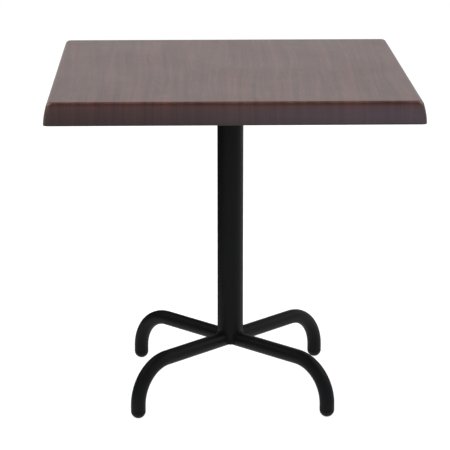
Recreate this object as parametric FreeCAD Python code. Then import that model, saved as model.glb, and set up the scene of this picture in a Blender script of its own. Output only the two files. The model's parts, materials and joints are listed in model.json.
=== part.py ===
import FreeCAD, Part
import os
from math import atan2, cos, pi, sin, sqrt, tan, radians

# Square cafe table: a moulded laminate top on a tubular pedestal with four bent legs.
# Millimetres, +Z up. The origin is on the floor, below the centre of the column.

Vector = FreeCAD.Vector
UP = Vector(0, 0, 1)
ORIGIN = Vector(0, 0, 0)

# Driving dimensions of the whole table
table_height = 760.0
top_size = 800.0

# Moulded top: a flat board with a deep rim that leans outwards as it goes down
rim_height = 48.0
board_thickness = 24.0
decor_thickness = 0.8
backing_thickness = 0.6
top_edge_radius = 10.0
# Each rim section is (depth below the top face, inset from the outer edge, corner radius in plan)
rim_sections = [(48.0, 0.0, 12.0), (32.0, 1.2, 12.0), (16.0, 4.2, 12.0), (0.0, 9.0, 12.0)]
lip_width = 11.0
recess_slope_run = 26.0
recess_corner_radius = 22.0
recess_floor_fillet = 8.0
lip_inner_fillet = 3.0
sheet_margin = 1.0

# Pedestal column
column_radius = 30.0
column_wall = 2.0
column_foot_height = 110.0

# Bent legs, set on the table's diagonals
leg_radius = 16.85
leg_wall = 2.0
leg_axis_height = 120.0
leg_bend_radius = 91.0
foot_half_pitch = 213.0
leg_end_height = 18.0
leg_names = ["back_right", "back_left", "front_left", "front_right"]
leg_angles = [45.0, 135.0, 225.0, 315.0]

# Spider: one long bar and two short bars form a cross under the board
bar_width = 40.0
bar_thickness = 6.0
bar_reach = 225.0
bar_end_radius = 10.0
bar_edge_chamfer = 0.8
screw_radii = [128.0, 204.0]
gusset_thickness = 4.0
gusset_length = 66.0
gusset_drop = 56.0
gusset_toe = 8.0
gusset_overlap = 2.0
spider_weld_leg = 5.0
leg_weld_radius = 4.0

# Fasteners: M6 hex screws with washers, driven into threaded inserts
screw_radius = 3.0
screw_length = 20.0
screw_head_flats = 10.0
screw_head_height = 4.0
screw_head_face = 0.95
head_chamfer_angle = radians(30)
bar_hole_radius = 3.4
washer_radius = 6.25
washer_hole_radius = 3.2
washer_thickness = 1.6
insert_radius = 4.6
insert_bore_radius = 3.05
insert_length = 14.0
insert_rib_depth = 0.5
insert_rib_count = 4
insert_hole_depth = 16.0
backing_hole_radius = 5.2

# Levelling feet: a plastic dome moulded on an M8 stud, screwed into a plug in the leg's end,
# which has an M8 nut moulded in
foot_flat_radius = 5.8
foot_gap = 0.4
plug_flange = 2.0
plug_length = 16.0
plug_rib_depth = 0.6
plug_rib_height = 2.0
plug_rib_pitch = 4.0
stud_radius = 4.0
stud_bore_radius = 4.05
stud_top_height = 36.0
stud_head_flats = 13.0
stud_head_height = 5.0
stud_head_base = 6.0
nut_height = 6.5
nut_base = 25.0
edge_break = 0.4

# Heights that follow from the driving dimensions
lip_bottom = table_height - rim_height
board_underside = table_height - board_thickness
core_underside = board_underside + backing_thickness
bar_underside = board_underside - bar_thickness
foot_radial_distance = foot_half_pitch * sqrt(2)
plug_underside = leg_end_height - plug_flange
dome_top_height = plug_underside - foot_gap


def rounded_square(size, radius, z):
    """A closed wire: a square of the given size at height z, with round corners."""
    half = size / 2
    flat = half - radius
    edges = []
    for turn in range(4):
        middle = pi / 2 * turn
        side = turned(Vector(half, flat, z), middle)
        start = turned(Vector(half, -flat, z), middle)
        bulge = radius * cos(pi / 4)
        corner_middle = turned(Vector(flat + bulge, flat + bulge, z), middle)
        corner_end = turned(Vector(flat, half, z), middle)
        edges.append(Part.LineSegment(start, side).toShape())
        edges.append(Part.Arc(side, corner_middle, corner_end).toShape())
    return Part.Wire(edges)


def turned(point, angle):
    """The point turned about the Z axis by an angle in radians."""
    return Vector(
        point.x * cos(angle) - point.y * sin(angle),
        point.x * sin(angle) + point.y * cos(angle),
        point.z,
    )


def turned_shape(shape, degrees):
    """A copy of the shape turned about the Z axis."""
    copy = shape.copy()
    copy.rotate(ORIGIN, UP, degrees)
    return copy


def cylinder(radius, low, high, x=0.0, y=0.0):
    """An upright cylinder from one height to another."""
    return Part.makeCylinder(radius, high - low, Vector(x, y, low), UP)


def ring(outer_radius, inner_radius, low, high, x=0.0, y=0.0):
    """An upright tube."""
    return cylinder(outer_radius, low, high, x, y).cut(cylinder(inner_radius, low, high, x, y))


def hexagon_prism(across_flats, low, high, x=0.0, y=0.0):
    """An upright hexagonal prism."""
    corner_radius = across_flats / sqrt(3)
    corners = [
        Vector(x + corner_radius * cos(pi / 3 * k), y + corner_radius * sin(pi / 3 * k), low)
        for k in range(7)
    ]
    return Part.Face(Part.makePolygon(corners)).extrude(Vector(0, 0, high - low))


def edges_where(shape, test):
    """The shape's edges whose middle point passes the test."""
    return [
        edge
        for edge in shape.Edges
        if test(edge.valueAt((edge.FirstParameter + edge.LastParameter) / 2))
    ]


def export(name, shape):
    """Writes one sub-part to parts/NAME.step."""
    shape.exportStep("parts/" + name + ".step")


# Moulded top


def moulded_block(skin, top, edge_radius):
    """The top's outer form, shrunk by a skin thickness and cut level at the top."""
    sections = [
        rounded_square(top_size - 2 * (inset + skin), corner - skin, table_height - depth)
        for depth, inset, corner in rim_sections
    ]
    block = Part.makeLoft(sections, True, False)
    if top < table_height:
        lid = Part.makeBox(
            top_size, top_size, board_thickness, Vector(-top_size / 2, -top_size / 2, top)
        )
        block = block.cut(lid)
    top_edges = edges_where(block, lambda middle: abs(middle.z - top) < 0.01)
    return block.makeFillet(edge_radius, top_edges)


def recess():
    """The hollow under the board: narrow at the board, wider at the lip."""
    mouth = top_size - 2 * lip_width
    sections = [
        rounded_square(mouth, recess_corner_radius, lip_bottom),
        rounded_square(mouth - 2 * recess_slope_run, recess_corner_radius, core_underside),
    ]
    hollow = Part.makeLoft(sections, True, True)
    floor_edges = edges_where(hollow, lambda middle: abs(middle.z - core_underside) < 0.01)
    return hollow.makeFillet(recess_floor_fillet, floor_edges)


def screw_places():
    """The (x, y) places of the eight screws, two on each arm of the cross."""
    return [
        (reach * cos(radians(angle)), reach * sin(radians(angle)))
        for angle in leg_angles
        for reach in screw_radii
    ]


def make_top():
    """The pressed core, the decor laminate that wraps it, and the balancing sheet below."""
    outer = moulded_block(0.0, table_height, top_edge_radius)
    inner_top = table_height - decor_thickness
    inner = moulded_block(decor_thickness, inner_top, top_edge_radius - decor_thickness)
    decor = outer.cut(inner)
    core = inner.cut(recess())
    mouth = top_size / 2 - lip_width
    lip_edges = edges_where(
        core,
        lambda middle: abs(middle.z - lip_bottom) < 0.01
        and max(abs(middle.x), abs(middle.y)) < mouth + 0.01,
    )
    core = core.makeFillet(lip_inner_fillet, lip_edges)
    for x, y in screw_places():
        hole_top = core_underside + insert_hole_depth
        core = core.cut(cylinder(insert_radius, core_underside, hole_top, x, y))
    export("tabletop_core", core)
    export("tabletop_decor_laminate", decor)


def make_backing():
    """The thin sheet bonded to the flat of the board's underside, open at each insert."""
    slope_angle = atan2(core_underside - lip_bottom, recess_slope_run)
    fillet_reach = recess_floor_fillet * tan(slope_angle / 2)
    inset = lip_width + recess_slope_run + fillet_reach + sheet_margin
    outline = Part.Face(
        rounded_square(top_size - 2 * inset, recess_corner_radius, board_underside)
    )
    sheet = outline.extrude(Vector(0, 0, backing_thickness))
    for x, y in screw_places():
        sheet = sheet.cut(cylinder(backing_hole_radius, board_underside, core_underside, x, y))
    export("tabletop_backing_sheet", sheet)


# Fasteners between the spider and the top


def threaded_insert(x, y):
    """A bush with an anti-turn rib pattern cut into its outside."""
    top = core_underside + insert_length
    bush = ring(insert_radius, insert_bore_radius, core_underside, top, x, y)
    pitch = insert_length / (insert_rib_count + 1)
    for k in range(insert_rib_count):
        middle = core_underside + pitch * (k + 1)
        low = middle - pitch / 4
        high = middle + pitch / 4
        bush = bush.cut(ring(washer_radius, insert_radius - insert_rib_depth, low, high, x, y))
    return bush


def hex_screw(x, y):
    """A hex-head screw whose head bears on the washer from below."""
    head_top = bar_underside - washer_thickness
    head_bottom = head_top - screw_head_height
    head = hexagon_prism(screw_head_flats, head_bottom, head_top, x, y)
    face_radius = screw_head_flats / 2 * screw_head_face
    widest = face_radius + screw_head_height / tan(head_chamfer_angle)
    trim = Part.makeCone(face_radius, widest, screw_head_height, Vector(x, y, head_bottom))
    shank = cylinder(screw_radius, head_top, head_top + screw_length, x, y)
    tip = edges_where(shank, lambda middle: middle.z > head_top + screw_length - 0.01)
    shank = shank.makeChamfer(edge_break, tip)
    return head.common(trim).fuse(shank).removeSplitter()


def make_fasteners():
    """One group each of inserts, screws and washers."""
    places = screw_places()
    export("threaded_inserts", Part.makeCompound([threaded_insert(x, y) for x, y in places]))
    export("spider_screws", Part.makeCompound([hex_screw(x, y) for x, y in places]))
    low = bar_underside - washer_thickness
    washers = [ring(washer_radius, washer_hole_radius, low, bar_underside, x, y) for x, y in places]
    export("spider_washers", Part.makeCompound(washers))


# Spider


def flat_bar(start, end, round_start):
    """A flat bar along +X from start to end, with round corners at its free ends."""
    bar = Part.makeBox(
        end - start, bar_width, bar_thickness, Vector(start, -bar_width / 2, bar_underside)
    )
    free_ends = [end, start] if round_start else [end]
    upright = edges_where(
        bar,
        lambda middle: any(abs(middle.x - x) < 0.01 for x in free_ends)
        and abs(abs(middle.y) - bar_width / 2) < 0.01
        and abs(middle.z - bar_underside - bar_thickness / 2) < 0.01,
    )
    bar = bar.makeFillet(bar_end_radius, upright)
    lower = edges_where(
        bar,
        lambda middle: abs(middle.z - bar_underside) < 0.01
        and (round_start or middle.x > start + 0.01),
    )
    bar = bar.makeChamfer(bar_edge_chamfer, lower)
    for reach in screw_radii:
        for x in [reach, -reach] if round_start else [reach]:
            bar = bar.cut(cylinder(bar_hole_radius, bar_underside, board_underside, x, 0.0))
    return bar


def gusset():
    """A triangular plate in the corner between the column and an arm along +X."""
    inside = column_radius - gusset_overlap
    tip = column_radius + gusset_length
    corners = [
        Vector(inside, -gusset_thickness / 2, bar_underside),
        Vector(tip, -gusset_thickness / 2, bar_underside),
        Vector(tip, -gusset_thickness / 2, bar_underside - gusset_toe),
        Vector(column_radius + gusset_toe, -gusset_thickness / 2, bar_underside - gusset_drop),
        Vector(inside, -gusset_thickness / 2, bar_underside - gusset_drop),
    ]
    outline = Part.Face(Part.makePolygon(corners + corners[:1]))
    plate = outline.extrude(Vector(0, gusset_thickness, 0))
    return plate.cut(cylinder(column_radius, column_foot_height, bar_underside))


def spider_weld(gusset_plate):
    """The fillet weld under one arm, in two runs, one each side of the gusset."""
    profile = Part.makePolygon(
        [
            Vector(column_radius, 0, bar_underside),
            Vector(column_radius + spider_weld_leg, 0, bar_underside),
            Vector(column_radius, 0, bar_underside - spider_weld_leg),
            Vector(column_radius, 0, bar_underside),
        ]
    )
    bead = Part.Face(profile).revolve(ORIGIN, UP, 360)
    margin = bar_width / 2 - 2 * bar_edge_chamfer
    under_arm = Part.makeBox(
        column_radius + 2 * spider_weld_leg,
        2 * margin,
        2 * spider_weld_leg,
        Vector(0, -margin, bar_underside - 2 * spider_weld_leg),
    )
    return bead.common(under_arm).cut(gusset_plate)


def make_spider():
    """The cross that carries the board, with its gussets and welds."""
    long_bar = flat_bar(-bar_reach, bar_reach, True)
    short_bar = flat_bar(bar_width / 2, bar_reach, False)
    export("spider_long_bar", turned_shape(long_bar, leg_angles[0]))
    export("spider_short_bar_left", turned_shape(short_bar, leg_angles[1]))
    export("spider_short_bar_right", turned_shape(short_bar, leg_angles[3]))
    plate = gusset()
    welds = spider_weld(plate)
    for name, angle in zip(leg_names, leg_angles):
        export("gusset_" + name, turned_shape(plate, angle))
    runs = [solid for angle in leg_angles for solid in turned_shape(welds, angle).Solids]
    export("spider_welds", Part.makeCompound(runs))


# Column and legs


def bent_bar(radius, start, end_height):
    """A round bar along a leg's centreline: out along +X, round the bend and down."""
    bend_start = foot_radial_distance - leg_bend_radius
    bend_centre_height = leg_axis_height - leg_bend_radius
    arm = Part.makeCylinder(
        radius, bend_start - start, Vector(start, 0, leg_axis_height), Vector(1, 0, 0)
    )
    section = Part.Face(
        Part.Wire(
            Part.makeCircle(radius, Vector(bend_start, 0, leg_axis_height), Vector(1, 0, 0))
        )
    )
    bend = section.revolve(Vector(bend_start, 0, bend_centre_height), Vector(0, 1, 0), 90)
    shin = cylinder(radius, end_height, bend_centre_height, foot_radial_distance, 0.0)
    return arm.fuse([bend, shin]).removeSplitter()


def leg_tube():
    """One bent tube along +X, its inner end cut to a point so that four meet in a cross."""
    inner = bent_bar(leg_radius - leg_wall, 0.0, leg_end_height)
    tube = bent_bar(leg_radius, 0.0, leg_end_height).cut(inner)
    reach = foot_radial_distance + 2 * leg_radius
    wedge_corners = [ORIGIN, Vector(reach, reach, 0), Vector(reach, -reach, 0), ORIGIN]
    wedge = Part.Face(Part.makePolygon(wedge_corners)).extrude(UP * (2 * leg_axis_height))
    return tube.common(wedge)


def leg_stubs():
    """Solid round bars where the four legs enter the column."""
    stub = Part.makeCylinder(
        leg_radius, 3 * column_radius, Vector(0, 0, leg_axis_height), Vector(1, 0, 0)
    )
    return [turned_shape(stub, angle) for angle in leg_angles]


def make_column():
    """The upright tube, its lower end coped over the four legs."""
    tube = ring(column_radius, column_radius - column_wall, column_foot_height, bar_underside)
    for stub in leg_stubs():
        tube = tube.cut(stub)
    export("column_tube", tube)


def make_leg_welds():
    """Concave fillet welds where the legs' tops and sides leave the column."""
    below_legs = leg_axis_height - 2 * leg_radius
    above_legs = leg_axis_height + 3 * leg_radius
    post = cylinder(column_radius, below_legs, above_legs)
    stubs = leg_stubs()
    joined = post.fuse(stubs).removeSplitter()

    def on_joint(point):
        on_column = abs(sqrt(point.x**2 + point.y**2) - column_radius) < 0.05
        direction = atan2(point.y, point.x)
        nearest = min(leg_angles, key=lambda angle: abs(cos(direction - radians(angle)) - 1))
        side = point.x * sin(radians(nearest)) - point.y * cos(radians(nearest))
        from_axis = sqrt(side**2 + (point.z - leg_axis_height) ** 2)
        return on_column and abs(from_axis - leg_radius) < 0.05

    filleted = joined.makeFillet(leg_weld_radius, edges_where(joined, on_joint))
    beads = filleted.cut(post).cut(stubs[0].fuse(stubs[1:]))
    side = 6 * column_radius
    kept = Part.makeBox(side, side, above_legs, Vector(-side / 2, -side / 2, column_foot_height))
    beads = beads.common(kept)
    export("leg_welds", Part.makeCompound(beads.Solids))


def make_legs():
    """Four bent leg tubes."""
    tube = leg_tube()
    for name, angle in zip(leg_names, leg_angles):
        export("leg_" + name, turned_shape(tube, angle))


# Levelling feet, each built on the Z axis and then moved under its leg


def nut_body():
    """The M8 nut moulded into the plug."""
    nut = hexagon_prism(stud_head_flats, nut_base, nut_base + nut_height)
    return nut.cut(cylinder(stud_bore_radius, nut_base, nut_base + nut_height))


def plug_body():
    """The ribbed plastic plug pressed into the leg's end, moulded round the nut."""
    bore_radius = leg_radius - leg_wall
    flange = cylinder(leg_radius, plug_underside, leg_end_height)
    rim = edges_where(flange, lambda middle: middle.z < plug_underside + 0.01)
    flange = flange.makeChamfer(edge_break, rim)
    body = cylinder(bore_radius, leg_end_height, leg_end_height + plug_length)
    groove_low = leg_end_height + plug_rib_height
    while groove_low + plug_rib_height < leg_end_height + plug_length:
        body = body.cut(
            ring(
                leg_radius,
                bore_radius - plug_rib_depth,
                groove_low,
                groove_low + plug_rib_height,
            )
        )
        groove_low += plug_rib_pitch
    plug = flange.fuse(body).removeSplitter()
    bore = cylinder(stud_bore_radius, plug_underside, leg_end_height + plug_length)
    return plug.cut(bore).cut(nut_body())


def stud_body():
    """The stud, with the hexagonal head that the dome is moulded round."""
    shank = cylinder(stud_radius, stud_head_base, stud_top_height)
    tip = edges_where(shank, lambda middle: middle.z > stud_top_height - 0.01)
    shank = shank.makeChamfer(2 * edge_break, tip)
    head = hexagon_prism(stud_head_flats, stud_head_base, stud_head_base + stud_head_height)
    return shank.fuse(head).removeSplitter()


def dome_body():
    """A hemisphere as wide as the leg, flat where it stands, moulded round the stud's head."""
    sphere_centre_height = sqrt(leg_radius**2 - foot_flat_radius**2)
    ball = Part.makeSphere(leg_radius, Vector(0, 0, sphere_centre_height))
    lower = ball.common(cylinder(leg_radius + 1, 0.0, sphere_centre_height))
    if dome_top_height > sphere_centre_height:
        lower = lower.fuse(cylinder(leg_radius, sphere_centre_height, dome_top_height))
    else:
        lower = lower.common(cylinder(leg_radius + 1, 0.0, dome_top_height))
    return lower.removeSplitter().cut(stud_body())


def make_feet():
    """Plug, nut, stud and dome for each of the four legs."""
    pieces = {
        "foot_plug_": plug_body(),
        "foot_nut_": nut_body(),
        "foot_stud_": stud_body(),
        "foot_dome_": dome_body(),
    }
    for name, angle in zip(leg_names, leg_angles):
        place = turned(Vector(foot_radial_distance, 0, 0), radians(angle))
        for prefix, shape in pieces.items():
            moved = turned_shape(shape, angle)
            moved.translate(place)
            export(prefix + name, moved)


os.makedirs("parts", exist_ok=True)
make_top()
make_backing()
make_fasteners()
make_spider()
make_column()
make_legs()
make_leg_welds()
make_feet()
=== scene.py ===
import json
import random
from math import acos, atan2, cos, floor, pi, radians, sin, sqrt

import bmesh
import bpy
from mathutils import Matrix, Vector


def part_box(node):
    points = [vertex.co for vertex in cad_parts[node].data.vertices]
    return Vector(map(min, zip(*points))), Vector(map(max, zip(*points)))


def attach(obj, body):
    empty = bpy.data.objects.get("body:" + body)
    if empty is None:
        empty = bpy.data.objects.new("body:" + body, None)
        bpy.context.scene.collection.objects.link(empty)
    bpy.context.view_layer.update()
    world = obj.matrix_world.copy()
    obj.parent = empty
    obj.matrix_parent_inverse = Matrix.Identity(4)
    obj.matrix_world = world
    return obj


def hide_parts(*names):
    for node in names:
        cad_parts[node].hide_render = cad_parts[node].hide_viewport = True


# Square cafe table. Everything is in metres, in the frame of the CAD model.

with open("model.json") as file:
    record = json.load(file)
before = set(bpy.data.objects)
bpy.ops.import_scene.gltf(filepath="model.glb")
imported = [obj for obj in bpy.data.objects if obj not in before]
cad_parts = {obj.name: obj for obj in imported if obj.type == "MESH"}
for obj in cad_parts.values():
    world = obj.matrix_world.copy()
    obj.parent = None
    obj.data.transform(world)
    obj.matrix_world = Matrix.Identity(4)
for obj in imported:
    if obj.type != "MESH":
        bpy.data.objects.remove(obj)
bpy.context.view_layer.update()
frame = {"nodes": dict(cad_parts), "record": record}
scene = bpy.context.scene

# Sizes that the new pieces share with the CAD model
TABLE_BODY = "table_frame"
FOOT_BODY = "levelling_foot_"
LEG_ANGLES = {"back_right": 45, "back_left": 135, "front_left": 225, "front_right": 315}
TOP_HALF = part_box("tabletop_decor_laminate")[1].x
TOP_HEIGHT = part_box("tabletop_decor_laminate")[1].z
LIP_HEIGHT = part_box("tabletop_decor_laminate")[0].z
RIM_HEIGHT = TOP_HEIGHT - LIP_HEIGHT
DECOR_THICKNESS = 0.0008
COLUMN_RADIUS = 0.030
COLUMN_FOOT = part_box("column_tube")[0].z
BAR_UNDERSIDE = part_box("column_tube")[1].z
LEG_RADIUS = 0.01685
LEG_AXIS_HEIGHT = 0.120
FOOT_HALF_PITCH = 0.213


# Camera, at the place that the table was seen from

CAMERA_PLACE = Vector((-0.118, -4.373, 1.561))
CAMERA_AIM = Vector((-0.0123, 0.0, 0.3915))
CAMERA_LENS = 156.5
SENSOR_WIDTH = 36.0


def turned_to(place, aim):
    """The rotation that makes a camera or a lamp at a place look towards its aim."""
    return (Vector(aim) - Vector(place)).to_track_quat("-Z", "Y").to_euler()


def make_camera():
    """A long lens from the front, slightly above the table."""
    camera = bpy.data.objects.new("camera", bpy.data.cameras.new("camera"))
    camera.data.lens = CAMERA_LENS
    camera.data.sensor_width = SENSOR_WIDTH
    camera.location = CAMERA_PLACE
    camera.rotation_euler = turned_to(CAMERA_PLACE, CAMERA_AIM)
    scene.collection.objects.link(camera)
    scene.camera = camera


# Shader graphs

NOISE_LOW = 0.3
NOISE_HIGH = 0.7


class Graph:
    """The nodes of a material or of the world, with short ways to add and join them."""

    def __init__(self, holder):
        self.holder = holder
        self.holder.use_nodes = True
        self.tree = holder.node_tree

    def feed(self, socket, value):
        """Joins a socket to another one's output, or sets its number."""
        if isinstance(value, bpy.types.NodeSocket):
            self.tree.links.new(value, socket)
        else:
            socket.default_value = value

    def add(self, kind, inputs=(), **settings):
        """A new node with its settings, and with its inputs given by name or number."""
        node = self.tree.nodes.new(kind)
        for key, value in settings.items():
            setattr(node, key, value)
        for key, value in dict(inputs).items():
            self.feed(node.inputs[key], value)
        return node

    def shader(self):
        """The material's own shader."""
        return self.tree.nodes["Principled BSDF"]

    def surface(self, **inputs):
        """Sets the inputs of the material's own shader; an underscore stands for a space."""
        for key, value in inputs.items():
            self.feed(self.shader().inputs[key.replace("_", " ")], value)
        return self.holder

    def place(self):
        """The point on the piece, in the frame's metres."""
        return self.add("ShaderNodeTexCoord").outputs["Object"]

    def attribute(self, name):
        """A value that the mesh holds at each vertex."""
        return self.add("ShaderNodeAttribute", attribute_name=name)

    def parts(self, vector):
        """The X, Y and Z of a vector."""
        return self.add("ShaderNodeSeparateXYZ", {0: vector}).outputs

    def times(self, vector, factors):
        node = self.add("ShaderNodeVectorMath", {0: vector, 1: factors}, operation="MULTIPLY")
        return node.outputs[0]

    def plus(self, vector, other):
        return self.add("ShaderNodeVectorMath", {0: vector, 1: other}, operation="ADD").outputs[0]

    def math(self, operation, first, second):
        return self.add("ShaderNodeMath", {0: first, 1: second}, operation=operation).outputs[0]

    def blend(self, first, second, share):
        """The sum of two values: the share of the first one, and the rest of the second."""
        rest = self.math("MULTIPLY", second, 1 - share)
        return self.math("ADD", self.math("MULTIPLY", first, share), rest)

    def noise(self, vector, per_metre=1.0, detail=2.0, roughness=0.5):
        """Soft noise; a vector that is already scaled along each axis needs no scale of its own."""
        inputs = {"Vector": vector, "Scale": per_metre, "Detail": detail, "Roughness": roughness}
        return self.add("ShaderNodeTexNoise", inputs).outputs[0]

    def cells(self, vector, per_metre):
        """Irregular cells, each with a random colour of its own."""
        return self.add("ShaderNodeTexVoronoi", {"Vector": vector, "Scale": per_metre})

    def remap(self, value, low, high, to_low=0.0, to_high=1.0, smooth=False):
        """The range from low to high spread over another range, and held at its ends."""
        inputs = {0: value, 1: low, 2: high, 3: to_low, 4: to_high}
        kind = "SMOOTHSTEP" if smooth else "LINEAR"
        return self.add("ShaderNodeMapRange", inputs, interpolation_type=kind).outputs[0]

    def swing(self, noise, to_low, to_high):
        """The middle of a noise, where nearly all of it lies, spread over another range."""
        return self.remap(noise, NOISE_LOW, NOISE_HIGH, to_low, to_high)

    def mix(self, factor, first, second, blend="MIX"):
        """From the first colour to the second as the factor goes from 0 to 1."""
        node = self.add("ShaderNodeMix", data_type="RGBA", blend_type=blend)
        self.feed(node.inputs[0], factor)
        self.feed(node.inputs[6], first)
        self.feed(node.inputs[7], second)
        return node.outputs[2]

    def tint(self, first, second):
        """The product of two colours."""
        return self.mix(1.0, first, second, "MULTIPLY")

    def ramp(self, value, stops):
        """A colour ramp through (value, colour) stops, from the first one's value to the last one's."""
        low, high = stops[0][0], stops[-1][0]
        node = self.add("ShaderNodeValToRGB", {0: self.remap(value, low, high)})
        elements = node.color_ramp.elements
        while len(elements) < len(stops):
            elements.new(0.5)
        for element, (at, colour) in zip(elements, stops):
            element.position = (at - low) / (high - low)
            element.color = colour
        return node.outputs[0]

    def bump(self, height, strength, distance, normal=None):
        """The normal of fine relief, laid over another normal if there is one."""
        inputs = {"Height": height, "Strength": strength, "Distance": distance}
        if normal is not None:
            inputs["Normal"] = normal
        return self.add("ShaderNodeBump", inputs).outputs[0]


def rgb(red, green, blue):
    """A linear colour."""
    return (red, green, blue, 1.0)


def grey(level):
    """A linear colour with no hue."""
    return rgb(level, level, level)


# Materials

PLASTIC_IOR = 1.5
GRAIN_WANDER = 0.045
CALM_START = 0.002
CALM_END = 0.010
CHIP_WOBBLE = 0.008
SCUFF_TOP = 0.0065
SCUFF_FULL = 0.0005


def material_graph(name):
    """The graph of a new material."""
    return Graph(bpy.data.materials.new(name))


def wenge_laminate():
    """Dark wood-print laminate: straight grain along the sheet's Y, fine pores, satin press finish."""
    graph = material_graph("wenge_laminate")
    sheet = graph.attribute("sheet").outputs["Vector"]
    depth = graph.attribute("rim_depth").outputs["Fac"]
    wander = graph.noise(graph.times(sheet, (2.2, 0.9, 1.0)), detail=3.0)
    sideways = graph.remap(wander, 0, 1, -GRAIN_WANDER, GRAIN_WANDER)
    shift = graph.add("ShaderNodeCombineXYZ", {0: sideways})
    grain = graph.plus(sheet, shift.outputs[0])
    boards = graph.noise(graph.times(grain, (14.0, 0.35, 1.0)), detail=2.0)
    bands = graph.noise(graph.times(grain, (85.0, 1.3, 1.0)), detail=3.0, roughness=0.6)
    lines = graph.noise(graph.times(grain, (420.0, 4.5, 1.0)), detail=3.0, roughness=0.65)
    fibres = graph.noise(graph.times(grain, (1500.0, 26.0, 1.0)), detail=2.0, roughness=0.6)
    colour = graph.ramp(
        graph.blend(bands, lines, 0.5),
        [
            (0.34, rgb(0.026, 0.0116, 0.0090)),
            (0.46, rgb(0.043, 0.0196, 0.0150)),
            (0.56, rgb(0.058, 0.0266, 0.0203)),
            (0.68, rgb(0.080, 0.0375, 0.0285)),
        ],
    )
    colour = graph.tint(colour, graph.swing(boards, 0.93, 1.07))
    pore_room = graph.noise(graph.times(grain, (1150.0, 42.0, 1.0)), detail=1.0)
    pores = graph.remap(pore_room, 0.62, 0.70, smooth=True)
    colour = graph.mix(graph.math("MULTIPLY", pores, 0.45), colour, rgb(0.016, 0.008, 0.0065))
    pale = graph.remap(fibres, 0.60, 0.78, 0.0, 0.35)
    colour = graph.mix(pale, colour, rgb(0.085, 0.042, 0.032))
    # The grain is calmer where the film is pressed round the shoulder and down the rim
    calm = graph.remap(depth, CALM_START, CALM_END, 0.0, 0.45, smooth=True)
    colour = graph.mix(calm, colour, rgb(0.0495, 0.0226, 0.0173))
    # Painted light and shade down the rim: painted shade, darker and redder, just under the top's edge,
    # painted light a quarter of the way down, and painted shade darkening towards the lip. The stops
    # are shares of the rim's height, down from the top face.
    rim_light_and_shade = graph.ramp(
        graph.remap(depth, 0.0, RIM_HEIGHT),
        [
            (0.00, rgb(1.00, 1.00, 1.00)),
            (0.02, rgb(1.00, 1.00, 1.00)),
            (0.05, rgb(0.86, 0.58, 0.48)),
            (0.12, rgb(1.04, 0.68, 0.54)),
            (0.23, rgb(1.32, 1.04, 0.88)),
            (0.40, rgb(1.13, 1.04, 0.98)),
            (0.65, rgb(0.96, 0.96, 0.95)),
            (1.00, rgb(0.78, 0.78, 0.78)),
        ],
    )
    # Noise sets how strongly the painted rim light and shade is laid on, place by place
    uneven = graph.noise(sheet, 60.0, detail=3.0)
    colour = graph.mix(graph.swing(uneven, 0.7, 1.0), colour, graph.tint(colour, rim_light_and_shade))
    smudge = graph.noise(sheet, 5.0, detail=4.0, roughness=0.6)
    gloss = graph.swing(smudge, 0.29, 0.34)
    gloss = graph.math("ADD", gloss, graph.math("MULTIPLY", pores, 0.08))
    relief = graph.math("SUBTRACT", graph.math("MULTIPLY", lines, 0.35), pores)
    normal = graph.bump(relief, strength=0.14, distance=0.00010)
    orange_peel = graph.noise(sheet, 260.0, detail=2.0)
    normal = graph.bump(orange_peel, 0.03, 0.0003, normal)
    return graph.surface(Base_Color=colour, Roughness=gloss, Normal=normal, IOR=PLASTIC_IOR)


def moulded_core():
    """Pressed wood particles in dark resin, as the rim's underside shows them."""
    graph = material_graph("moulded_core")
    place = graph.place()
    wobble = graph.add("ShaderNodeTexNoise", {"Vector": place, "Scale": 90.0}).outputs["Color"]
    bent = graph.plus(place, graph.times(wobble, (CHIP_WOBBLE, CHIP_WOBBLE, CHIP_WOBBLE)))
    chips = graph.cells(graph.times(bent, (1.0, 0.45, 1.0)), 420.0)
    tone = graph.ramp(
        graph.noise(chips.outputs["Color"], 3.0, detail=0.0),
        [
            (0.30, rgb(0.018, 0.0105, 0.0075)),
            (0.48, rgb(0.035, 0.0200, 0.0140)),
            (0.62, rgb(0.058, 0.0340, 0.0230)),
            (0.75, rgb(0.085, 0.0540, 0.0360)),
        ],
    )
    dust = graph.noise(place, 900.0, detail=3.0, roughness=0.7)
    colour = graph.mix(graph.remap(dust, 0.4, 0.75, 0.0, 0.5), tone, rgb(0.030, 0.019, 0.014))
    cloud = graph.noise(place, 9.0, detail=3.0)
    colour = graph.tint(colour, graph.swing(cloud, 0.82, 1.15))
    normal = graph.bump(chips.outputs["Distance"], strength=0.25, distance=0.0003)
    normal = graph.bump(dust, 0.3, 0.0002, normal)
    gloss = graph.swing(dust, 0.50, 0.68)
    return graph.surface(Base_Color=colour, Roughness=gloss, Normal=normal, IOR=PLASTIC_IOR)


def backing_paper():
    """Brown resin paper pressed on the board's underside."""
    graph = material_graph("backing_paper")
    place = graph.place()
    cloud = graph.noise(place, 14.0, detail=4.0, roughness=0.6)
    fibre = graph.noise(graph.times(place, (1.0, 0.12, 1.0)), 1300.0, detail=2.0)
    colour = graph.ramp(
        graph.blend(cloud, fibre, 0.6),
        [
            (0.35, rgb(0.017, 0.0110, 0.0085)),
            (0.52, rgb(0.025, 0.0165, 0.0125)),
            (0.68, rgb(0.036, 0.0240, 0.0180)),
        ],
    )
    normal = graph.bump(fibre, strength=0.15, distance=0.0002)
    gloss = graph.swing(cloud, 0.42, 0.58)
    return graph.surface(Base_Color=colour, Roughness=gloss, Normal=normal, IOR=PLASTIC_IOR)


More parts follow.
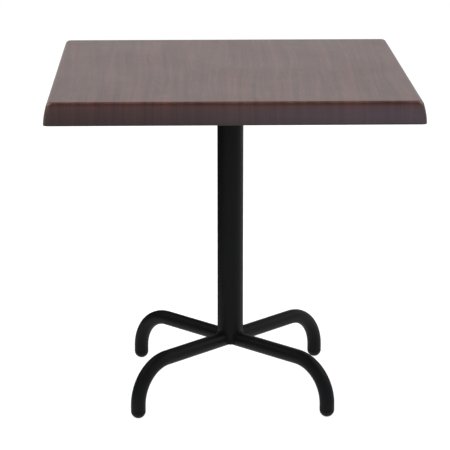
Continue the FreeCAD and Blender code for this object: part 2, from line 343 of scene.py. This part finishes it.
def black_powder_coat():
    """Satin black powder coat, with its fine orange peel and a little dust."""
    graph = material_graph("black_powder_coat")
    place = graph.place()
    peel = graph.noise(place, 620.0, detail=2.0, roughness=0.45)
    grit = graph.noise(place, 2600.0, detail=1.0)
    cloud = graph.noise(place, 11.0, detail=4.0, roughness=0.6)
    colour = graph.ramp(
        cloud,
        [
            (0.30, rgb(0.0042, 0.0042, 0.0040)),
            (0.55, rgb(0.0055, 0.0055, 0.0052)),
            (0.80, rgb(0.0078, 0.0077, 0.0073)),
        ],
    )
    specks = graph.remap(grit, 0.72, 0.80, 0.0, 0.35, smooth=True)
    colour = graph.mix(specks, colour, grey(0.030))
    normal = graph.bump(peel, strength=0.30, distance=0.0005)
    normal = graph.bump(grit, 0.15, 0.0001, normal)
    return graph.surface(
        Base_Color=colour,
        Roughness=graph.swing(cloud, 0.46, 0.56),
        Normal=normal,
        IOR=PLASTIC_IOR,
        Specular_IOR_Level=0.11,
    )


def black_plastic():
    """Moulded black polyethylene with a spark-eroded grain, scuffed where it meets the floor."""
    graph = material_graph("black_plastic")
    place = graph.place()
    height = graph.parts(place)[2]
    grain = graph.noise(place, 1900.0, detail=2.0, roughness=0.6)
    scratch_room = graph.noise(
        graph.times(place, (1.0, 0.15, 1.0)), 1500.0, detail=2.0, roughness=0.6
    )
    low = graph.remap(height, SCUFF_TOP, SCUFF_FULL, smooth=True)
    scuff = graph.math("MULTIPLY", low, graph.remap(scratch_room, 0.52, 0.66, 0.0, 0.8))
    colour = graph.mix(scuff, rgb(0.0055, 0.0055, 0.0058), rgb(0.030, 0.029, 0.028))
    cloud = graph.noise(place, 120.0, detail=3.0)
    gloss = graph.swing(cloud, 0.42, 0.54)
    gloss = graph.math("ADD", gloss, graph.math("MULTIPLY", scuff, 0.25))
    return graph.surface(
        Base_Color=colour,
        Roughness=gloss,
        Normal=graph.bump(grain, strength=0.18, distance=0.00015),
        IOR=PLASTIC_IOR,
        Specular_IOR_Level=0.10,
    )


def zinc_steel():
    """Bright zinc plate, slightly clouded and with a trace of blue and straw."""
    graph = material_graph("zinc_steel")
    place = graph.place()
    cloud = graph.noise(place, 260.0, detail=3.0, roughness=0.6)
    colour = graph.ramp(
        cloud,
        [
            (0.30, rgb(0.33, 0.35, 0.39)),
            (0.50, rgb(0.43, 0.44, 0.45)),
            (0.72, rgb(0.47, 0.44, 0.36)),
        ],
    )
    marks = graph.noise(graph.times(place, (1.0, 1.0, 6.0)), 2200.0, detail=2.0)
    gloss = graph.swing(cloud, 0.24, 0.40)
    normal = graph.bump(marks, strength=0.12, distance=0.0001)
    return graph.surface(Base_Color=colour, Roughness=gloss, Normal=normal, Metallic=1.0)


def insert_brass():
    """Turned brass, dulled by handling."""
    graph = material_graph("insert_brass")
    place = graph.place()
    turning = graph.noise(graph.times(place, (0.2, 0.2, 1.0)), 5200.0, detail=1.0)
    stain = graph.noise(place, 320.0, detail=3.0)
    colour = graph.ramp(
        stain, [(NOISE_LOW, rgb(0.50, 0.34, 0.12)), (NOISE_HIGH, rgb(0.72, 0.54, 0.24))]
    )
    gloss = graph.swing(stain, 0.28, 0.42)
    normal = graph.bump(turning, strength=0.2, distance=0.0001)
    return graph.surface(Base_Color=colour, Roughness=gloss, Normal=normal, Metallic=1.0)


MATERIALS = {
    "wenge_laminate": wenge_laminate(),
    "moulded_core": moulded_core(),
    "backing_paper": backing_paper(),
    "black_powder_coat": black_powder_coat(),
    "black_plastic": black_plastic(),
    "zinc_steel": zinc_steel(),
    "insert_brass": insert_brass(),
}


def dress_cad_nodes():
    """Gives every CAD node the finish of its own material slot."""
    for part in frame["record"]["subparts"]:
        node = frame["nodes"][part["node"]]
        for material_slot in node.material_slots:
            material_slot.material = MATERIALS[part["material_slot"]]


# Mesh pieces


def add_piece(name, shape, slot, body, replaced=(), smooth_angle=None):
    """Turns a bmesh into a piece that rides on a body, in the finish of a material slot."""
    mesh = bpy.data.meshes.new(name)
    bmesh.ops.recalc_face_normals(shape, faces=shape.faces[:])
    shape.to_mesh(mesh)
    shape.free()
    mesh.materials.append(MATERIALS[slot])
    piece = bpy.data.objects.new(name, mesh)
    scene.collection.objects.link(piece)
    mesh.shade_smooth()
    if smooth_angle is not None:
        mesh.set_sharp_from_angle(angle=smooth_angle)
    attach(piece, body)
    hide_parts(*replaced)


def bridge(shape, first, second):
    """Quads between two closed rings of as many vertices."""
    count = len(first)
    for k in range(count):
        after = (k + 1) % count
        shape.faces.new((first[k], first[after], second[after], second[k]))


def skin(rings):
    """A closed mesh through rings of points, with a fan over each end."""
    shape = bmesh.new()
    made = [[shape.verts.new(point) for point in ring] for ring in rings]
    for first, second in zip(made, made[1:]):
        bridge(shape, first, second)
    for ring in (made[0], made[-1]):
        middle = sum((vertex.co for vertex in ring), Vector()) / len(ring)
        hub = shape.verts.new(middle)
        for k in range(len(ring)):
            shape.faces.new((ring[k], ring[(k + 1) % len(ring)], hub))
    return shape


# Tabletop: the laminate skin, with the rim's true curve and its grain laid out as on the flat sheet

# The rim leans and bows outwards: its inset is RIM_LEAN * t + RIM_BOW * t * t, where t is 0 at the
# lip and 1 at the top face
RIM_LEAN = 0.0011
RIM_BOW = 0.0079
SHOULDER_RADIUS = 0.010
LIP_EDGE_RADIUS = 0.0004
CORNER_RADIUS = 0.012
SIDE_STEPS = 40
CORNER_STEPS = 10
RIM_STEPS = 14
SHOULDER_STEPS = 12
LIP_EDGE_STEPS = 3
FIELD_INSET = 0.030
SLOPE_STEP = 0.0001
TURN_ROUNDS = 20
SMALLEST_CORNER = 0.001
LAMINATE_SHARP_ANGLE = radians(50)


def rim_inset(depth):
    """How far the rim stands inside the table's edge at a depth below the top face."""
    t = 1 - depth / RIM_HEIGHT
    return RIM_LEAN * t + RIM_BOW * t * t


def shoulder_turn():
    """The angle that the shoulder turns through until it meets the rim's curve, found in rounds."""
    depth = 0.0
    for _ in range(TURN_ROUNDS):
        slope = (rim_inset(depth) - rim_inset(depth + SLOPE_STEP)) / SLOPE_STEP
        turn = pi / 2 - atan2(slope, 1.0)
        depth = SHOULDER_RADIUS * (1 - cos(turn))
    return turn


def rim_profile():
    """(inset, depth) points down the outside, from the flat field's edge to the lip's underside."""
    turn = shoulder_turn()
    start_depth = SHOULDER_RADIUS * (1 - cos(turn))
    flat_inset = rim_inset(start_depth) + SHOULDER_RADIUS * sin(turn)
    points = []
    for k in range(SHOULDER_STEPS + 1):
        angle = turn * k / SHOULDER_STEPS
        depth = SHOULDER_RADIUS * (1 - cos(angle))
        points.append((flat_inset - SHOULDER_RADIUS * sin(angle), depth))
    end_depth = RIM_HEIGHT - LIP_EDGE_RADIUS
    for k in range(1, RIM_STEPS + 1):
        depth = start_depth + (end_depth - start_depth) * k / RIM_STEPS
        points.append((rim_inset(depth), depth))
    for k in range(1, LIP_EDGE_STEPS + 1):
        angle = pi / 2 * k / LIP_EDGE_STEPS
        inset = rim_inset(end_depth) + LIP_EDGE_RADIUS * (1 - cos(angle))
        points.append((inset, end_depth + LIP_EDGE_RADIUS * sin(angle)))
    return points


def square_ring(inset, corner_radius):
    """(point, outward direction) round a square with round corners, on the plane z = 0."""
    half = TOP_HALF - inset
    flat = half - corner_radius
    ring = []
    for side in range(4):
        turn = pi / 2 * side
        out, along = Vector((cos(turn), sin(turn), 0)), Vector((-sin(turn), cos(turn), 0))
        for k in range(SIDE_STEPS):
            ring.append((out * half + along * flat * (2 * k / SIDE_STEPS - 1), out))
        centre = (out + along) * flat
        for k in range(CORNER_STEPS):
            angle = pi / 2 * k / CORNER_STEPS
            direction = out * cos(angle) + along * sin(angle)
            ring.append((centre + direction * corner_radius, direction))
    return ring


def corner_radius_at(inset, depth):
    """The plan corner radius: the same down the rim, and smaller the further the shoulder turns in."""
    return CORNER_RADIUS - max(0.0, inset - rim_inset(depth))


def laminate_skin(shape, offset):
    """One face of the laminate, offset inwards from the outside. Gives its ring at the lip.

    Each vertex keeps its place on the flat sheet and its depth down the rim.
    """
    sheet = shape.verts.layers.float_vector.get("sheet")
    depth_layer = shape.verts.layers.float.get("rim_depth")
    profile = rim_profile()
    flat_inset = profile[0][0]
    rings = []
    travelled = 0.0
    last = profile[0]
    for inset, depth in profile:
        travelled += sqrt((inset - last[0]) ** 2 + (depth - last[1]) ** 2)
        last = (inset, depth)
        ring = []
        inner_depth = min(depth + offset * (1 - depth / RIM_HEIGHT), RIM_HEIGHT)
        radius = corner_radius_at(inset, depth)
        for point, out in square_ring(inset + offset, max(radius - offset, SMALLEST_CORNER)):
            vertex = shape.verts.new((point.x, point.y, TOP_HEIGHT - inner_depth))
            on_sheet = point + out * (inset + offset - flat_inset + travelled)
            vertex[sheet] = (on_sheet.x, on_sheet.y, 0.0)
            vertex[depth_layer] = depth
            ring.append(vertex)
        rings.append(ring)
    for first, second in zip(rings, rings[1:]):
        bridge(shape, first, second)
    close_field(shape, rings[0], TOP_HEIGHT - offset)
    return rings[-1]


def close_field(shape, edge, height):
    """The flat field: a grid of squares, joined to the edge ring."""
    sheet = shape.verts.layers.float_vector.get("sheet")
    half = TOP_HALF - FIELD_INSET
    grid = {}
    for column in range(SIDE_STEPS + 1):
        for row in range(SIDE_STEPS + 1):
            x = half * (2 * column / SIDE_STEPS - 1)
            y = half * (2 * row / SIDE_STEPS - 1)
            vertex = shape.verts.new((x, y, height))
            vertex[sheet] = (x, y, 0.0)
            grid[column, row] = vertex
    for column in range(SIDE_STEPS):
        for row in range(SIDE_STEPS):
            corners = [(column, row), (column + 1, row), (column + 1, row + 1), (column, row + 1)]
            shape.faces.new([grid[corner] for corner in corners])
    last = SIDE_STEPS
    walks = [
        [(last, k) for k in range(last + 1)],
        [(last - k, last) for k in range(last + 1)],
        [(0, last - k) for k in range(last + 1)],
        [(k, 0) for k in range(last + 1)],
    ]
    per_side = SIDE_STEPS + CORNER_STEPS
    for side, walk in enumerate(walks):
        start = side * per_side
        for k in range(SIDE_STEPS):
            outer = (edge[start + k], edge[start + k + 1])
            shape.faces.new((outer[0], outer[1], grid[walk[k + 1]], grid[walk[k]]))
        for k in range(CORNER_STEPS):
            first = edge[start + SIDE_STEPS + k]
            second = edge[(start + SIDE_STEPS + k + 1) % len(edge)]
            shape.faces.new((first, second, grid[walk[-1]]))


def make_laminate():
    """The decor laminate as a thin closed shell over the core."""
    shape = bmesh.new()
    shape.verts.layers.float_vector.new("sheet")
    shape.verts.layers.float.new("rim_depth")
    outer = laminate_skin(shape, 0.0)
    inner = laminate_skin(shape, DECOR_THICKNESS)
    bridge(shape, outer, inner)
    add_piece(
        "decor_laminate",
        shape,
        "wenge_laminate",
        TABLE_BODY,
        ["tabletop_decor_laminate"],
        LAMINATE_SHARP_ANGLE,
    )


# Welds: ripples laid one after another along a path

GUSSET_HALF_THICKNESS = 0.002
LEG_BEAD_REACH = radians(123)
LEG_BEAD_RADIUS = 0.0030
MITRE_BEAD_RADIUS = 0.0020
ARM_BEAD_RADIUS = 0.0026
GUSSET_BEAD_RADIUS = 0.0016
ARM_BEAD_START = radians(6)
ARM_BEAD_END = radians(34)
GUSSET_BEAD_LOW_GAP = 0.002
GUSSET_BEAD_HIGH_GAP = 0.006
RIPPLE_PITCH = 0.0019
RIPPLE_DEPTH = 0.08
RIPPLE_LAG = 0.14
SWELL_SHARE = 0.035
END_SHARE = 0.15
BEAD_STEP = 0.00035
BEAD_SIDES = 14
FEWEST_RINGS = 12
LENGTH_SAMPLES = 50
DIRECTION_STEP = 0.002


def path_length(path):
    """The length of a path, near enough, as the sum of short chords."""
    points = [path(k / LENGTH_SAMPLES)[0] for k in range(LENGTH_SAMPLES + 1)]
    return sum((after - before).length for before, after in zip(points, points[1:]))


def weld_bead(name, path, radius, replaced=()):
    """A weld bead along a path, which gives (point, outward direction) for a fraction from 0 to 1."""
    chance = random.Random(name)
    length = path_length(path)
    count = max(FEWEST_RINGS, round(length / BEAD_STEP))
    # One size for each ripple, and a few to spare
    swell = [chance.uniform(-1, 1) for _ in range(int(length / RIPPLE_PITCH) + 3)]
    rings = []
    for k in range(count + 1):
        fraction = k / count
        point, out = path(fraction)
        ahead = path(min(1.0, fraction + DIRECTION_STEP))[0]
        behind = path(max(0.0, fraction - DIRECTION_STEP))[0]
        along = (ahead - behind).normalized()
        out = (out - along * out.dot(along)).normalized()
        side = along.cross(out)
        travelled = fraction * length
        ripple = travelled / RIPPLE_PITCH
        phase = ripple - floor(ripple)
        wave = 1 - (2 * phase - 1) ** 2
        size = radius * (1 + RIPPLE_DEPTH * (wave - 0.5) + SWELL_SHARE * swell[int(ripple)])
        end = min(travelled, length - travelled) / radius
        size *= sqrt(min(1.0, END_SHARE + end))
        ring = []
        for j in range(BEAD_SIDES):
            angle = 2 * pi * j / BEAD_SIDES
            lag = -RIPPLE_LAG * radius * max(0.0, cos(angle)) * (1 - abs(2 * phase - 1))
            ring.append(point + (out * cos(angle) + side * sin(angle)) * size + along * lag)
        rings.append(ring)
    add_piece(name, skin(rings), "black_powder_coat", TABLE_BODY, replaced)


def leg_joint_path(angle):
    """Round the joint of a leg with the column, from one side over the top to the other."""
    u = Vector((cos(angle), sin(angle), 0))
    v = Vector((-sin(angle), cos(angle), 0))

    def path(fraction):
        phi = LEG_BEAD_REACH * (2 * fraction - 1)
        side = LEG_RADIUS * sin(phi)
        point = u * sqrt(COLUMN_RADIUS**2 - side**2) + v * side
        from_column = Vector((point.x, point.y, 0)).normalized()
        from_leg = v * sin(phi) + Vector((0, 0, cos(phi)))
        point.z = LEG_AXIS_HEIGHT + LEG_RADIUS * cos(phi)
        return point, (from_column + from_leg).normalized()

    return path


def arm_joint_path(angle, start, end):
    """Under an arm of the spider, round the column between two bearings from the arm's middle."""

    def path(fraction):
        bearing = angle + start + (end - start) * fraction
        out = Vector((cos(bearing), sin(bearing), 0))
        point = out * COLUMN_RADIUS
        point.z = BAR_UNDERSIDE
        return point, (out - Vector((0, 0, 1))).normalized()

    return path


def mitre_path(angle):
    """Along the seam between two legs, from beside the column's foot to the middle underneath."""
    out = Vector((cos(angle), sin(angle), 0))
    start = acos((COLUMN_FOOT - LEG_AXIS_HEIGHT) / LEG_RADIUS)

    def path(fraction):
        phi = start + (pi - start) * fraction
        point = out * sqrt(2) * LEG_RADIUS * sin(phi)
        point.z = LEG_AXIS_HEIGHT + LEG_RADIUS * cos(phi)
        return point, (out * sin(phi) / sqrt(2) + Vector((0, 0, cos(phi)))).normalized()

    return path


def gusset_joint_path(angle, side, low, high):
    """Up the column beside a gusset."""
    out = Vector((cos(angle), sin(angle), 0))
    across = Vector((-sin(angle), cos(angle), 0)) * side

    def path(fraction):
        point = out * COLUMN_RADIUS + across * GUSSET_HALF_THICKNESS
        point.z = low + (high - low) * fraction
        return point, (out + across).normalized()

    return path


def make_welds():
    """Beads round each leg's joint, under each arm, beside each gusset and along the legs' mitres."""
    for number, (name, degrees) in enumerate(LEG_ANGLES.items()):
        angle = radians(degrees)
        replaced = ["leg_welds", "spider_welds"] if number == 0 else []
        weld_bead("leg_weld_" + name, leg_joint_path(angle), LEG_BEAD_RADIUS, replaced)
        for side, word in ((1, "left"), (-1, "right")):
            path = arm_joint_path(angle, side * ARM_BEAD_START, side * ARM_BEAD_END)
            weld_bead("arm_weld_" + name + "_" + word, path, ARM_BEAD_RADIUS)
            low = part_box("gusset_" + name)[0].z + GUSSET_BEAD_LOW_GAP
            path = gusset_joint_path(angle, side, low, BAR_UNDERSIDE - GUSSET_BEAD_HIGH_GAP)
            weld_bead("gusset_weld_" + name + "_" + word, path, GUSSET_BEAD_RADIUS)
    for side, degrees in {"right": 0, "back": 90, "left": 180, "front": 270}.items():
        weld_bead("mitre_weld_" + side, mitre_path(radians(degrees)), MITRE_BEAD_RADIUS)


# Levelling feet

DOME_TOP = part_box("foot_dome_front_left")[1].z
DOME_FLAT_RADIUS = 0.0058
DOME_FLAT_EDGE = 0.0004
DOME_EDGE_RADIUS = 0.0004
DOME_STEPS = 18
DOME_EDGE_STEPS = 4
GATE_RADIUS = 0.0022
GATE_CENTRE_RADIUS = 0.0005
GATE_SLOPE = 0.0003
GATE_DEPTH = 0.0005
STUD_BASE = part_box("foot_stud_front_left")[0].z
STUD_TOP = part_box("foot_stud_front_left")[1].z
STUD_RADIUS = 0.004
STUD_HEAD_RADIUS = 0.0075
STUD_HEAD_HEIGHT = 0.005
STUD_HEAD_EDGE = 0.0004
STUD_HEAD_SIDES = 6
THREAD_PITCH = 0.00125
THREAD_DEPTH = 0.00068
THREAD_FLANK = 1.25
THREAD_CREST = 0.1
THREAD_SIDES = 40
ROWS_PER_TURN = 8
LATHE_SIDES = 72
DOME_SHARP_ANGLE = radians(40)
STUD_SHARP_ANGLE = radians(50)
HEAD_SHARP_ANGLE = radians(30)


def lathe(profile, x, y, sides=LATHE_SIDES):
    """A solid of revolution about an upright axis through (x, y), from (radius, height) points."""
    rings = []
    for radius, height in profile:
        turn = [2 * pi * k / sides for k in range(sides)]
        rings.append([Vector((x + radius * cos(a), y + radius * sin(a), height)) for a in turn])
    return skin(rings)


def dome_profile():
    """From the gate mark underneath, over the flat and up the ball to the rounded top edge."""
    centre = sqrt(LEG_RADIUS**2 - DOME_FLAT_RADIUS**2)
    points = [
        (GATE_CENTRE_RADIUS, GATE_DEPTH),
        (GATE_RADIUS - GATE_SLOPE, GATE_DEPTH),
        (GATE_RADIUS, 0.0),
        (DOME_FLAT_RADIUS - DOME_FLAT_EDGE, 0.0),
    ]
    start = atan2(DOME_FLAT_RADIUS + DOME_FLAT_EDGE, centre)
    end = pi / 2 - atan2(centre - DOME_TOP + DOME_EDGE_RADIUS, LEG_RADIUS)
    for k in range(DOME_STEPS + 1):
        angle = start + (end - start) * k / DOME_STEPS
        points.append((LEG_RADIUS * sin(angle), centre - LEG_RADIUS * cos(angle)))
    rim = points[-1][0] - DOME_EDGE_RADIUS
    for k in range(1, DOME_EDGE_STEPS + 1):
        angle = pi / 2 * k / DOME_EDGE_STEPS
        lift = DOME_EDGE_RADIUS * sin(angle)
        points.append((rim + DOME_EDGE_RADIUS * cos(angle), DOME_TOP - DOME_EDGE_RADIUS + lift))
    points.append((STUD_RADIUS, DOME_TOP))
    return points


def stud_rings(x, y):
    """Rings up the threaded stud. The thread is a ridge whose height runs round with the angle."""
    rings = []
    rows = round((STUD_TOP - STUD_BASE) / THREAD_PITCH * ROWS_PER_TURN)
    for row in range(rows + 1):
        height = STUD_BASE + (STUD_TOP - STUD_BASE) * row / rows
        taper = max(0.0, height - (STUD_TOP - THREAD_PITCH))
        ring = []
        for k in range(THREAD_SIDES):
            phase = height / THREAD_PITCH - k / THREAD_SIDES
            ridge = abs(2 * (phase - floor(phase)) - 1)
            cut = THREAD_DEPTH * min(1.0, max(0.0, THREAD_FLANK * ridge - THREAD_CREST))
            radius = min(STUD_RADIUS - cut, STUD_RADIUS - taper)
            angle = 2 * pi * k / THREAD_SIDES
            ring.append(Vector((x + radius * cos(angle), y + radius * sin(angle), height)))
        rings.append(ring)
    return rings


def head_profile():
    """The stud's head from underneath to the top, with both edges broken."""
    top = STUD_BASE + STUD_HEAD_HEIGHT
    return [
        (STUD_HEAD_RADIUS - STUD_HEAD_EDGE, STUD_BASE),
        (STUD_HEAD_RADIUS, STUD_BASE + STUD_HEAD_EDGE),
        (STUD_HEAD_RADIUS, top - STUD_HEAD_EDGE),
        (STUD_HEAD_RADIUS - STUD_HEAD_EDGE, top),
    ]


def make_feet():
    """A moulded dome and a threaded stud with its hexagonal head, for each leg."""
    reach = FOOT_HALF_PITCH * sqrt(2)
    for name, degrees in LEG_ANGLES.items():
        x, y = reach * cos(radians(degrees)), reach * sin(radians(degrees))
        body = FOOT_BODY + name
        dome = lathe(dome_profile(), x, y)
        replaced = ["foot_dome_" + name]
        add_piece("dome_" + name, dome, "black_plastic", body, replaced, DOME_SHARP_ANGLE)
        stud = skin(stud_rings(x, y))
        replaced = ["foot_stud_" + name]
        add_piece("stud_" + name, stud, "zinc_steel", body, replaced, STUD_SHARP_ANGLE)
        head = lathe(head_profile(), x, y, STUD_HEAD_SIDES)
        add_piece("stud_head_" + name, head, "zinc_steel", body, [], HEAD_SHARP_ANGLE)


# Flat steel parts: the plates' cut edges are broken a little

PLATE_NODES = ["spider_long_bar", "spider_short_bar_left", "spider_short_bar_right"]
PLATE_EDGE = 0.0006
PLATE_EDGE_STEPS = 2
PLATE_EDGE_ANGLE = radians(40)
SAME_POINT = 0.00001


def soften_plates():
    """Joins each plate's faces and rounds its edges."""
    for node in PLATE_NODES + ["gusset_" + name for name in LEG_ANGLES]:
        plate = frame["nodes"][node]
        join = plate.modifiers.new("join", "WELD")
        join.merge_threshold = SAME_POINT
        soften = plate.modifiers.new("soften", "BEVEL")
        soften.width = PLATE_EDGE
        soften.segments = PLATE_EDGE_STEPS
        soften.limit_method = "ANGLE"
        soften.angle_limit = PLATE_EDGE_ANGLE
        soften.harden_normals = True


# Stage: a white floor, lights, and cards for the reflections

FLOOR_HALF = 40.0
FLOOR_GLOW = 0.90
BOX_AIM = (0.0, 0.0, 0.7)
FILL_AIM = (0.0, -0.2, 0.7)
CARD_GLOW = 1.7

# The edges of the cards
SCREEN_HALF_WIDTH = 1.6
SCREEN_Y = -1.0
SCREEN_BOTTOM = 0.62
SCREEN_TOP = 0.95
FLOOR_CARD_HALF_WIDTH = 5.0
FLOOR_CARD_Z = 0.002
NEAR_FLOOR_EDGE = -0.8
FAR_FLOOR_EDGE = -2.3
FAR_FLOOR_END = -7.0
FLAG_LEFT = -0.62
FLAG_RIGHT = -0.05
FLAG_FRONT = -0.5
FLAG_BACK = 0.4
FLAG_TOP = 0.66


def make_floor():
    """A plain white floor that glows, is only seen from above and adds no diffuse light."""
    shape = bmesh.new()
    bmesh.ops.create_grid(shape, x_segments=1, y_segments=1, size=FLOOR_HALF)
    mesh = bpy.data.meshes.new("floor")
    shape.to_mesh(mesh)
    shape.free()
    graph = material_graph("floor")
    graph.surface(
        Base_Color=grey(0.30),
        Roughness=0.9,
        Specular_IOR_Level=0.0,
        Emission_Color=grey(1.0),
        Emission_Strength=FLOOR_GLOW,
    )
    clear = graph.add("ShaderNodeBsdfTransparent")
    below = graph.add("ShaderNodeNewGeometry").outputs["Backfacing"]
    sides = graph.add(
        "ShaderNodeMixShader", {0: below, 1: graph.shader().outputs[0], 2: clear.outputs[0]}
    )
    graph.tree.links.new(sides.outputs[0], graph.tree.nodes["Material Output"].inputs[0])
    mesh.materials.append(graph.holder)
    ground = bpy.data.objects.new("floor", mesh)
    scene.collection.objects.link(ground)
    ground.visible_diffuse = False


def make_surround():
    """A white studio all round: brightest low down, dark overhead, and cooler on the right."""
    graph = Graph(bpy.data.worlds.new("studio"))
    direction = graph.parts(graph.add("ShaderNodeTexCoord").outputs["Generated"])
    by_side = graph.ramp(direction[0], [(-0.6, rgb(0.82, 0.80, 0.80)), (0.6, rgb(0.98, 1.0, 1.04))])
    by_depth = graph.ramp(
        direction[1], [(-1.0, rgb(0.55, 0.62, 0.80)), (0.0, grey(0.8)), (1.0, grey(0.72))]
    )
    by_height = graph.ramp(
        direction[2],
        [
            (-0.02, grey(0.35)),
            (0.0, grey(1.0)),
            (0.45, grey(1.0)),
            (0.70, grey(0.12)),
            (0.9, grey(0.02)),
        ],
    )
    light = graph.tint(graph.tint(by_side, by_depth), by_height)
    graph.feed(graph.tree.nodes["Background"].inputs[0], light)
    scene.world = graph.holder


def add_card(name, low, high, stops):
    """A glowing rectangle that only reflections see, level or upright between two opposite corners.

    Its colour runs along X through (x, colour) stops.
    """
    (x0, y0, z0), (x1, y1, z1) = low, high
    if z0 == z1:
        corners = [(x0, y0, z0), (x1, y0, z0), (x1, y1, z0), (x0, y1, z0)]
    else:
        corners = [(x0, y0, z0), (x1, y1, z0), (x1, y1, z1), (x0, y0, z1)]
    mesh = bpy.data.meshes.new(name)
    mesh.from_pydata(corners, [], [(0, 1, 2, 3)])
    graph = material_graph(name)
    graph.surface(
        Base_Color=grey(0.0),
        Roughness=1.0,
        Specular_IOR_Level=0.0,
        Emission_Color=graph.ramp(graph.parts(graph.place())[0], stops),
        Emission_Strength=CARD_GLOW,
    )
    mesh.materials.append(graph.holder)
    card = bpy.data.objects.new(name, mesh)
    scene.collection.objects.link(card)
    card.visible_camera = False
    card.visible_diffuse = False
    card.visible_transmission = False
    card.visible_shadow = False


def make_cards():
    """What the table reflects.

    A screen in front brightens to the cool right, two cards stand for the darker room's floor,
    and two dark flags hide the white surround on the left and behind.
    """
    add_card(
        "front_screen",
        (-SCREEN_HALF_WIDTH, SCREEN_Y, SCREEN_BOTTOM),
        (SCREEN_HALF_WIDTH, SCREEN_Y, SCREEN_TOP),
        [
            (-0.5, rgb(0.25, 0.25, 0.29)),
            (-0.15, rgb(0.31, 0.31, 0.38)),
            (0.25, rgb(0.72, 0.72, 0.92)),
            (0.6, rgb(0.74, 0.74, 1.0)),
        ],
    )
    add_card(
        "near_floor",
        (-FLOOR_CARD_HALF_WIDTH, FAR_FLOOR_EDGE, FLOOR_CARD_Z),
        (FLOOR_CARD_HALF_WIDTH, NEAR_FLOOR_EDGE, FLOOR_CARD_Z),
        [(-0.9, rgb(0.60, 0.59, 0.59)), (0.9, rgb(0.36, 0.36, 0.37))],
    )
    add_card(
        "far_floor",
        (-FLOOR_CARD_HALF_WIDTH, FAR_FLOOR_END, FLOOR_CARD_Z),
        (FLOOR_CARD_HALF_WIDTH, FAR_FLOOR_EDGE, FLOOR_CARD_Z),
        [
            (-0.4, rgb(0.16, 0.16, 0.18)),
            (0.1, rgb(0.22, 0.22, 0.24)),
            (0.6, rgb(0.46, 0.46, 0.52)),
        ],
    )
    dark = [(-1.0, grey(0.02)), (1.0, grey(0.02))]
    add_card(
        "left_flag",
        (FLAG_LEFT, FLAG_FRONT, FLOOR_CARD_Z),
        (FLAG_LEFT, FLAG_BACK, FLAG_TOP),
        dark,
    )
    add_card(
        "back_flag",
        (FLAG_LEFT, FLAG_BACK, FLOOR_CARD_Z),
        (FLAG_RIGHT, FLAG_BACK, FLAG_TOP),
        dark,
    )


def add_softbox(name, place, aim, size, power, reflected=True):
    """A square area light, which may be left out of the reflections."""
    lamp = bpy.data.lights.new(name, "AREA")
    lamp.shape = "SQUARE"
    lamp.size = size
    lamp.energy = power
    holder = bpy.data.objects.new(name, lamp)
    holder.location = place
    holder.rotation_euler = turned_to(place, aim)
    holder.visible_glossy = reflected
    scene.collection.objects.link(holder)


def make_lights():
    """The surround, the cards, a box overhead, a fill in front, and broad boxes high at the sides."""
    make_surround()
    make_cards()
    add_softbox("top_box", (0.0, -0.1, 3.2), BOX_AIM, size=1.2, power=84.0, reflected=False)
    add_softbox("fill_box", (-1.6, -2.2, 0.9), FILL_AIM, size=0.8, power=19.0, reflected=False)
    add_softbox("left_box", (-2.4, 0.3, 3.2), BOX_AIM, size=3.0, power=70.0)
    add_softbox("right_box", (2.4, 0.3, 3.2), BOX_AIM, size=3.0, power=70.0)


make_camera()
dress_cad_nodes()
make_laminate()
make_welds()
make_feet()
soften_plates()
make_floor()
make_lights()
scene.view_settings.view_transform = "Standard"
